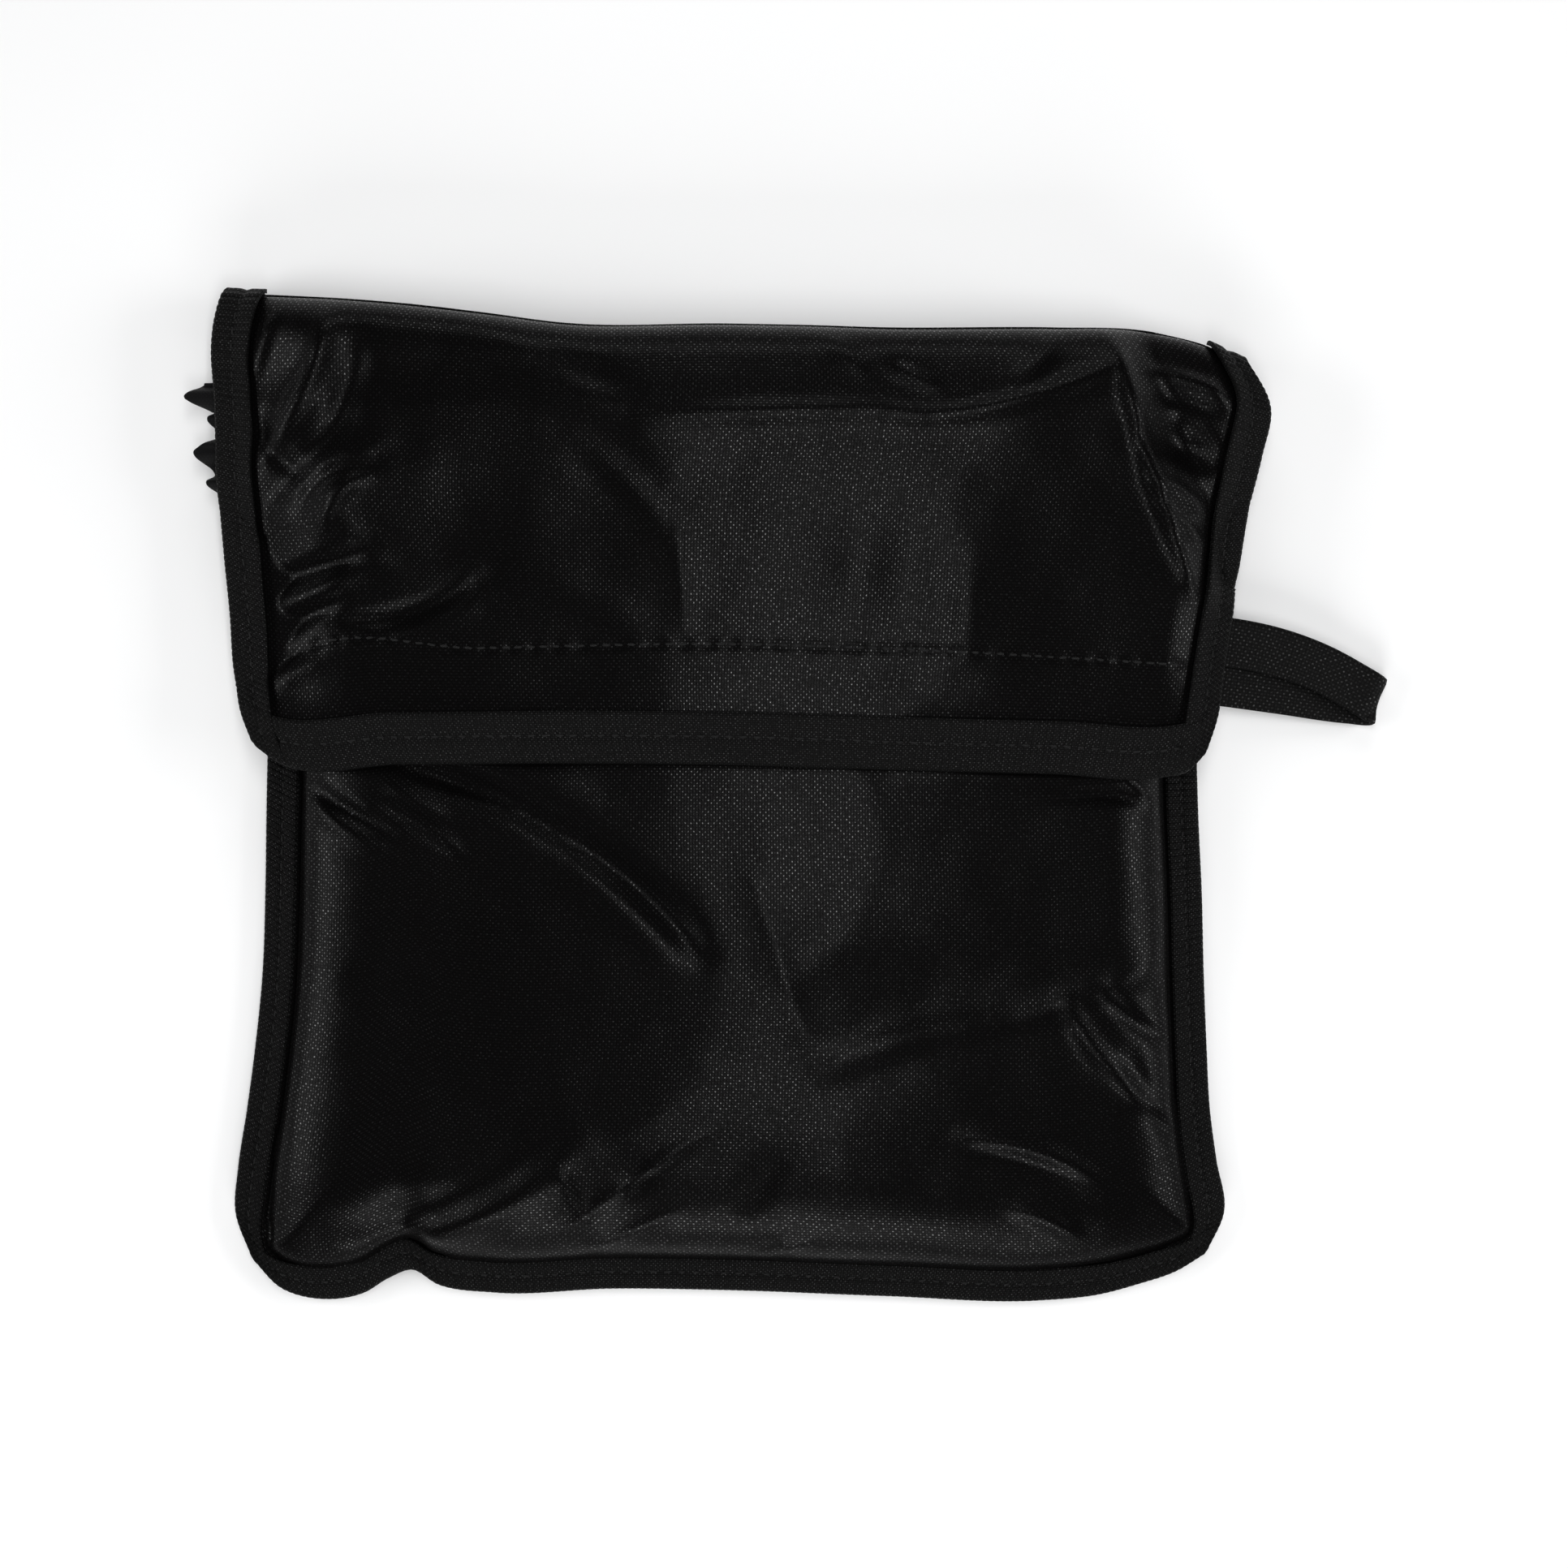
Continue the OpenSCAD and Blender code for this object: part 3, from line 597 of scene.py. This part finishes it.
def binding(name, patch, side, width, thick, span=(0.0, 1.0), gap=0.75, steps=5):
    """A C-shaped strip of ribbed tape round one side of a patch."""
    dense = patch.point(*side_places(side, np.linspace(*span, 200)))
    length = np.linalg.norm(np.diff(dense, axis=0), axis=1).sum()
    count = int(length / RIB_PITCH * steps)
    r = np.linspace(*span, count)
    across = np.array([1.0, 0.9, 0.78, 0.66, 0.56, 0.5, 0.44, 0.34, 0.22, 0.1, 0.0])
    top = gap + thick
    outside = [(width * a, top) for a in across]
    turned = [(-thick, top * 0.72), (-thick * 1.5, 0.0), (-thick, -top * 0.72 - 0.3)]
    below = [(width * a, -top - 0.25) for a in across[::-2]]
    inside = [(width, -gap - 0.1), (width * 0.5, -gap - 0.1), (0.3, -gap * 0.6), (0.3, gap * 0.5)]
    inside += [(width * 0.5, gap), (width, gap)]
    section = (outside + turned + below + inside)[::-1]
    turn = np.arange(count) / steps
    rib = np.abs(np.sin(np.pi * turn)) ** 0.7
    rings = []
    for inward, rise in section:
        swell = np.zeros(count)
        if abs(rise) > gap + 0.2 or inward < 0:
            block = 0.75 + 0.25 * abs(math.cos(math.pi * inward / 2.4))
            swell = np.sign(rise if rise else 1) * (0.34 * rib * block)
            groove = 0.5 * math.exp(-(((inward - width * 0.5) / (width * 0.09)) ** 2))
            swell = swell - np.sign(rise if rise else 1) * groove
        rings.append(tape_points(patch, side, r, np.full(count, inward), rise + swell))
    points = np.stack(rings, 1)
    k = len(section)
    faces = []
    for i in range(count - 1):
        for j in range(k):
            a, b = i * k + j, i * k + (j + 1) % k
            faces.append((a, b, b + k, a + k))
    faces += [tuple(range(k))[::-1], tuple(range((count - 1) * k, count * k))]
    if side in ("right", "near"):
        faces = [f[::-1] for f in faces]
    run = np.repeat(np.linspace(0, length, count), k)
    reach = np.tile(np.cumsum([0] + [math.dist(section[j], section[j + 1]) for j in range(k - 1)]), count)
    piece = mesh_piece(name, points.reshape(-1, 3), faces, TAPE, np.stack([run, reach], -1))
    print(name, round(length), "mm of tape,", int(length / RIB_PITCH), "ribs")
    return piece


FLAP_TAPE_WIDTH, FREE_TAPE_WIDTH, LEFT_TAPE_WIDTH, POUCH_TAPE_WIDTH = 9.8, 12.4, 8.4, 8.0
FLAP_TAPE_THICK, POUCH_TAPE_THICK, POUCH_TAPE_GAP = 0.7, 0.6, 0.9
flap_tapes = [
    binding("flap_tape_left", FLAP, "left", FLAP_TAPE_WIDTH, FLAP_TAPE_THICK),
    binding("flap_tape_right", FLAP, "right", FLAP_TAPE_WIDTH, FLAP_TAPE_THICK),
    binding("flap_tape_free", FLAP, "near", FREE_TAPE_WIDTH, FLAP_TAPE_THICK),
]
pouch_tapes = [
    binding("pouch_tape_left", BACK, "left", LEFT_TAPE_WIDTH, POUCH_TAPE_THICK, gap=POUCH_TAPE_GAP),
    binding("pouch_tape_right", BACK, "right", POUCH_TAPE_WIDTH, POUCH_TAPE_THICK, gap=POUCH_TAPE_GAP),
    binding("pouch_tape_foot", BACK, "near", POUCH_TAPE_WIDTH, POUCH_TAPE_THICK, gap=POUCH_TAPE_GAP),
]

# %% [markdown]
# The hang loop is one length of webbing folded at its tip, its two strands lying side by side where they
# leave the seam. A ribbon is swept along a path that goes out, turns over at the tip and comes back.

# %% Hang loop
def ribbon(name, path, widths, across, thick, material, rib_pitch, rib_height):
    """Webbing along a path of (x, y, z) places, level across."""
    path = np.array(path, float)
    run = np.concatenate([[0], np.cumsum(np.linalg.norm(np.diff(path, axis=0), axis=1))])
    count = int(run[-1] / 0.4)
    place = np.linspace(0, run[-1], count)
    centre = np.stack([lane(list(zip(run, path[:, k])))(place) for k in range(3)], -1)
    half = lane(list(zip(run, widths)))(place) / 2
    way = np.gradient(centre, axis=0)
    way /= np.linalg.norm(way, axis=1, keepdims=True)
    side = np.tile(np.array(across, float), (count, 1))
    side -= way * np.sum(side * way, 1, keepdims=True)
    side /= np.linalg.norm(side, axis=1, keepdims=True)
    up = np.cross(way, side)
    rib = np.abs(np.sin(np.pi * place / rib_pitch)) ** 0.7 * rib_height
    shares = [-1, -0.8, -0.6, -0.4, -0.2, 0, 0.2, 0.4, 0.6, 0.8, 1]
    rings = []
    for row, face in ((shares, 1), (shares[::-1], -1)):
        for a in row:
            lump = rib * (0.7 + 0.3 * abs(math.cos(math.pi * a * 3)))
            rise = thick / 2 * (1 - 0.5 * (abs(a) == 1)) + lump
            rings.append(centre + side * (a * half)[:, None] + up * (face * rise)[:, None])
    points = np.stack(rings, 1)
    k = len(rings)
    faces = []
    for i in range(count - 1):
        for j in range(k):
            a, b = i * k + j, i * k + (j + 1) % k
            faces.append((a + k, b + k, b, a))
    faces += [tuple(range(k)), tuple(range((count - 1) * k, count * k))[::-1]]
    reach = np.tile(np.linspace(0, 2 * float(half.max()) * 2, k), count)
    uvs = np.stack([np.repeat(place, k), reach], -1)
    piece = mesh_piece(name, points.reshape(-1, 3), faces, material, uvs)
    print(name, round(run[-1]), "mm of webbing")
    return piece


LOOP_PATH = [
    (112, 35.2, 5.6), (122, 34.2, 5.0), (140, 31.8, 3.4), (158, 29.4, 2.0), (163.9, 29.0, 2.2),
    (164.6, 29.2, 3.0), (163.9, 29.6, 3.9), (158, 33.2, 4.4), (150, 37.4, 5.0), (140, 41.0, 5.7),
    (122, 44.4, 6.4), (112, 45.2, 6.6),
]
LOOP_WIDTHS = [12.2, 12.2, 12.0, 12.0, 12.0, 12.0, 12.0, 12.0, 12.0, 12.2, 12.4, 12.4]
loop = ribbon("hang_loop_webbing", LOOP_PATH, LOOP_WIDTHS, (0.42, 1, 0), 1.2, WEBBING, 1.5, 0.16)
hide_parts("hang_loop", "hang_loop_tails")
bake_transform(loop)

# %% [markdown]
# Inside the pouch lies the changing bag itself, folded flat: the outer bag, the inner bag, the two
# sleeves and their gathered cuffs. Each fold is a soft slab with round edges, kept under the pouch's
# cloth by pressing the whole stack down where the pouch is thinner.

# %% The folded changing bag
PACK_FLOOR, PACK_TOP = 2.2, 18.8


def pressed(x, y, z):
    """The height that a stacked fold takes once the pouch's cloth presses on it."""
    roof = np.minimum(PACK_TOP, flap_height(x, y) - 3.0)
    roof = np.where(y < MOUTH_Y - 1, np.minimum(roof, front_height(x, y) - 1.6), roof)
    roof = np.maximum(roof, PACK_FLOOR + 2)
    return PACK_FLOOR + (z - PACK_FLOOR) * (roof - PACK_FLOOR) / (PACK_TOP - PACK_FLOOR)


def crowded(count):
    """Shares from 0 to 1 that stand closer together near both ends."""
    return (1 - np.cos(np.linspace(0, np.pi, count))) / 2 * 0.3 + np.linspace(0, 1, count) * 0.7


def folded_slab(name, node, material, seed, step=2.2):
    """A soft slab with round edges in the space of one folded layer."""
    low, high = (np.array(c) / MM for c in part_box(node))
    columns, rows = int((high[0] - low[0]) / step) + 8, int((high[1] - low[1]) / step) + 8
    s, t = np.meshgrid(crowded(columns), crowded(rows))
    x, y = low[0] + s * (high[0] - low[0]), low[1] + t * (high[1] - low[1])
    inset = np.minimum(np.minimum(x - low[0], high[0] - x), np.minimum(y - low[1], high[1] - y))
    x = x + 0.5 * np.sin(y / 17 + seed) * (s - 0.5)
    half, middle = (high[2] - low[2]) / 2, (high[2] + low[2]) / 2
    swell = np.sqrt(1 - (1 - np.clip(inset / (half * 1.6), 0, 1)) ** 2)
    wave = 0.06 * half * np.sin(x / 13 + seed) * np.sin(y / 19 + 2 * seed)
    top = pressed(x, y, middle + half * swell * 0.94 + wave)
    bottom = pressed(x, y, middle - half * swell * 0.94 + wave)
    points = np.concatenate([np.stack([x, y, z], -1).reshape(-1, 3) for z in (top, bottom)])
    upper = grid_faces(rows, columns)
    faces = np.concatenate([upper, upper[:, ::-1] + rows * columns])
    uv = np.tile(np.stack([x.ravel(), y.ravel()], -1), (2, 1))
    piece = mesh_piece(name, points, faces, material, uv)
    bm = bmesh.new()
    bm.from_mesh(piece.data)
    bmesh.ops.remove_doubles(bm, verts=bm.verts, dist=0.002 * MM)
    bm.to_mesh(piece.data)
    bm.free()
    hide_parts(node)
    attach(piece, "root")
    return piece


INNER = woven("inner_bag_cloth", (0.008, 0.008, 0.009), (0.022, 0.022, 0.025), 0.5, 0.4, 0.03)
LAYERS = [
    ("outer_bag_base", BAG), ("inner_bag_base", INNER), ("sleeve_left", BAG), ("sleeve_right", BAG),
    ("inner_bag_top", INNER), ("outer_bag_top", BAG),
]
for seed, (node, material) in enumerate(LAYERS):
    folded_slab(node + "_fold", node, material, seed)
print("six folded layers")

# %% [markdown]
# A cuff is gathered on elastic, so its end is a frill: the cloth runs in and out like a wave, deepest at
# the free end and calm where the elastic holds it. The left cuff's frill peeps out beside the flap.

# %% Gathered cuffs
def gathered_cuff(name, nodes, reach, bob):
    low, high = (np.array(c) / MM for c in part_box(nodes[0]))
    low[0] -= reach
    rows, columns = 160, 60
    u, v = np.meshgrid(np.linspace(0, 1, columns), np.linspace(0, 1, rows))
    y = low[1] - 3 + v * (high[1] - low[1] + 8)
    wave = np.sin(2 * np.pi * (y - low[1]) / 7.3 + 0.9 * np.sin(y * 0.31))
    elastic = 1 - 0.75 * np.exp(-(((u - 0.28) / 0.07) ** 2))
    depth = np.exp(-2.2 * u) * elastic
    x = low[0] + u * (high[0] - low[0]) + 1.1 * (1 - wave) * np.exp(-9 * u) + bob(y) * np.exp(-5 * u)
    z = 9.6 + 2.1 * wave * depth + 0.5 * np.sin(y * 1.9) * depth
    points = np.stack([x, y, z], -1)
    uvs = np.stack([x.ravel(), y.ravel()], -1)
    piece = mesh_piece(name, points.reshape(-1, 3), grid_faces(rows, columns), BAG, uvs)
    apply_modifier(piece, "SOLIDIFY", thickness=0.5 * MM, offset=0)
    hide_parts(*nodes)
    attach(piece, "root")
    print(name, "has a frill", round(float(y.max() - y.min())), "mm wide")
    return piece


peep = lane([(78, 6), (88, 2.5), (91, 1.0), (96, 4.5), (101, 3.5), (105, -1.5), (109, 0.5), (114, 4)])
gathered_cuff("cuff_left_frill", ["cuff_left", "cuff_elastic_left"], 7.4, peep)
gathered_cuff("cuff_right_frill", ["cuff_right", "cuff_elastic_right"], 0.0, lambda y: 0 * y)

# %% [markdown]
# Stitches are small beads of thread pressed into the cloth, one after another. One bead has few faces,
# because there are hundreds of them.

# %% Stitching
def stitch_row(name, places, normals, length=2.3, radius=0.24, seed=4):
    """A bead of thread at each place, pointing along the row."""
    chance = random.Random(seed)
    places, normals = np.array(places), np.array(normals)
    ways = np.gradient(places, axis=0)
    ways /= np.linalg.norm(ways, axis=1, keepdims=True)
    vertices, faces = [], []
    for place, way, up in zip(places, ways, normals):
        side = np.cross(up, way)
        side /= np.linalg.norm(side)
        half = length / 2 * chance.uniform(0.85, 1.1)
        lean = chance.uniform(-0.08, 0.08)
        first = len(vertices)
        vertices.append(place - way * half - up * radius * 0.6)
        for share in (-0.6, 0.0, 0.6):
            centre = place + way * half * share + side * lean * share * 2
            centre = centre + up * radius * 0.3 * (1 - share * share)
            for k in range(6):
                a = math.pi / 3 * k
                vertices.append(centre + side * radius * 1.15 * math.cos(a) + up * radius * 0.8 * math.sin(a))
        vertices.append(place + way * half - up * radius * 0.6)
        for k in range(6):
            m = (k + 1) % 6
            faces.append((first, first + 1 + m, first + 1 + k))
            for ring in (0, 1):
                a = first + 1 + ring * 6
                faces.append((a + k, a + m, a + m + 6, a + k + 6))
            faces.append((first + 13 + k, first + 13 + m, first + 19))
    piece = mesh_piece(name, vertices, faces, THREAD, [(v[0], v[1]) for v in vertices])
    bm = bmesh.new()
    bm.from_mesh(piece.data)
    bmesh.ops.recalc_face_normals(bm, faces=bm.faces)
    bm.to_mesh(piece.data)
    bm.free()
    print(name, len(places), "stitches")
    return piece


def patch_row(patch, s, t, lift):
    return patch.point(s, t) + patch.normal(s, t) * lift, patch.normal(s, t)


def share_of(patch, x, y):
    """The shares (s, t) of a place on a patch, found by a few steps of correction."""
    s, t = np.full(len(x), 0.5), np.full(len(x), 0.5)
    for _ in range(30):
        now = patch.flat(s, t)
        wide = patch.flat(s * 0 + 1, t)[:, 0] - patch.flat(s * 0, t)[:, 0]
        tall = patch.flat(s, t * 0 + 1)[:, 1] - patch.flat(s, t * 0)[:, 1]
        s = s + (x - now[:, 0]) / wide
        t = t + (y - now[:, 1]) / tall
    return s, t


seam_x = np.arange(-110, 113, 3.1)
seam_places, seam_normals = patch_row(FLAP, *share_of(FLAP, seam_x, seam_at(seam_x)), 0.12)
closure_row = stitch_row("closure_stitches", seam_places, seam_normals, length=2.2, radius=0.26)
tape_rows = []
SEWN_EDGES = [
    ("flap_left", FLAP, "left", FLAP_TAPE_WIDTH, 1.2),
    ("flap_right", FLAP, "right", FLAP_TAPE_WIDTH, 1.2),
    ("flap_free", FLAP, "near", FREE_TAPE_WIDTH, 1.2),
    ("pouch_left", BACK, "left", LEFT_TAPE_WIDTH, 1.25),
    ("pouch_right", BACK, "right", POUCH_TAPE_WIDTH, 1.25),
    ("pouch_foot", BACK, "near", POUCH_TAPE_WIDTH, 1.25),
]
for name, patch, side, width, lift in SEWN_EDGES:
    long = 225 if side == "near" else 108 if patch is FLAP else 232
    r = np.linspace(0.02, 0.97, int(long / 3.3))
    middle = np.full(len(r), width * 0.5)
    places = tape_points(patch, side, r, middle, np.full(len(r), lift))
    up = tape_points(patch, side, r, middle, np.full(len(r), lift + 1)) - places
    tape_rows.append(stitch_row(name + "_stitches", places, up, length=2.0, radius=0.24, seed=len(tape_rows)))

# %% [markdown]
# Under the flap are its lining and the hook tape, and on the front panel the loop tape and the hem. They
# lie on the same patches, lifted or sunk by the cloth's thickness.

# %% Linings, closure tapes and hem
HOOKS = woven("hook_pile", (0.004, 0.004, 0.004), (0.03, 0.03, 0.03), 0.9, 0.6, 0.3, specular=0.3)
LOOPS = woven("loop_pile", (0.005, 0.005, 0.005), (0.02, 0.02, 0.02), 0.6, 0.9, 0.3, sheen=0.3, specular=0.1)
flap_lining = cloth_sheet("flap_lining_cloth", FLAP, 1.6, 0.25, LINING, lift=-0.75,
    s_range=(0.05, 0.95), t_range=(0.1, 0.9))
hook_tape = cloth_sheet("hook_tape_strip", FLAP, 1.2, 0.7, HOOKS, lift=-1.1,
    s_range=(0.12, 0.88), t_range=(0.135, 0.27))
loop_tape = cloth_sheet("loop_tape_strip", FRONT, 1.2, 0.7, LOOPS, lift=0.75,
    s_range=(0.12, 0.88), t_range=(0.735, 0.82))
front_lining = cloth_sheet("front_lining_cloth", FRONT, 2.2, 0.25, LINING, lift=-0.75,
    s_range=(0.06, 0.94), t_range=(0.06, 0.985))
back_lining = cloth_sheet("back_lining_cloth", BACK, 2.4, 0.25, LINING, lift=0.35,
    s_range=(0.06, 0.94), t_range=(0.06, 0.86))
mouth_hem = binding("mouth_hem_tape", FRONT, "far", 9.0, 0.5, span=(0.05, 0.95))
UNDER_FLAP = [(flap_lining, "flap_lining", "lining_cloth"), (hook_tape, "hook_tape", "hook_pile")]
IN_POUCH = [
    (loop_tape, "loop_tape", "loop_pile"), (front_lining, "front_lining", "lining_cloth"),
    (mouth_hem, "mouth_binding", "binding_tape"), (back_lining, "back_lining", "lining_cloth"),
]
for piece, node, name in UNDER_FLAP:
    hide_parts(node)
    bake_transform(piece)
for piece, node, name in IN_POUCH:
    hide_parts(node)
    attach(piece, "root")

# %% [markdown]
# The zip stays as constructed and only needs its finishes: black enamel on the slider and pull, mottled by a
# fine noise, smooth nylon on the coil, and a fine weave on its tapes.

# %% Zip finishes
def object_finish(name, dark, light, roughness, metallic, scale, depth):
    material, tree, shader = new_material(name)
    place = tree.nodes.new("ShaderNodeTexCoord")
    grain = tree.nodes.new("ShaderNodeTexNoise")
    grain.inputs["Scale"].default_value = scale
    grain.inputs["Detail"].default_value = 6
    tree.links.new(place.outputs["Object"], grain.inputs["Vector"])
    ramp = tree.nodes.new("ShaderNodeValToRGB")
    ramp.color_ramp.elements[0].color = (*dark, 1)
    ramp.color_ramp.elements[1].color = (*light, 1)
    tree.links.new(grain.outputs["Fac"], ramp.inputs[0])
    tree.links.new(ramp.outputs[0], shader.inputs["Base Color"])
    rough = maths(tree, "MULTIPLY_ADD", grain.outputs["Fac"], 0.2, roughness)
    tree.links.new(rough, shader.inputs["Roughness"])
    bump = tree.nodes.new("ShaderNodeBump")
    bump.inputs["Strength"].default_value = 0.5
    bump.inputs["Distance"].default_value = depth * MM
    tree.links.new(grain.outputs["Fac"], bump.inputs["Height"])
    tree.links.new(bump.outputs[0], shader.inputs["Normal"])
    shader.inputs["Metallic"].default_value = metallic
    return material


ENAMEL = object_finish("black_enamel", (0.01, 0.01, 0.011), (0.03, 0.03, 0.032), 0.3, 0.4, 700, 0.03)
COIL = object_finish("nylon_coil", (0.004, 0.004, 0.004), (0.012, 0.012, 0.012), 0.35, 0.0, 1600, 0.15)
ZIP_TAPE = object_finish("zip_tape_weave", (0.005, 0.005, 0.005), (0.02, 0.02, 0.02), 0.7, 0.0, 2600, 0.2)
ZIP_FINISHES = [
    (("zip_slider", "zip_pull", "zip_stop_open", "zip_stop_closed", "inner_zip_slider"), ENAMEL),
    (("zip_coil", "inner_zip_coil"), COIL),
    (("zip_tape_front", "zip_tape_rear", "inner_zip_tape"), ZIP_TAPE),
]
for nodes, material in ZIP_FINISHES:
    for node in nodes:
        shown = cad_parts[node]
        shown = bpy.data.objects[shown] if isinstance(shown, str) else shown
        shown.data.materials.clear()
        shown.data.materials.append(material)
print("zip finished")

# %% [markdown]
# The cloth has no hinge pin. The sheets, tapes and stitch rows of the flap and back panel are baked in place,
# the front panel is attached to the root body, and the construction model's panels and bindings are hidden.

# %% What moves with what
for piece in [closure_row] + tape_rows[:3]:
    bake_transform(piece)
for piece in tape_rows[3:]:
    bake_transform(piece)
for piece in [flap_cloth] + flap_tapes:
    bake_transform(piece)
for piece in [back_cloth] + pouch_tapes:
    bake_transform(piece)
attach(front_cloth, "root")
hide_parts("flap_panel", "flap_riser", "flap_riser_lining")
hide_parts("flap_binding_left", "riser_binding_left")
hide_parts("flap_binding_right", "riser_binding_right")
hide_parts("flap_binding_free")
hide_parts("front_panel")
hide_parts("back_panel")
for tape, node in zip(pouch_tapes, ("pouch_binding_left", "pouch_binding_right", "pouch_binding_foot")):
    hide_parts(node)
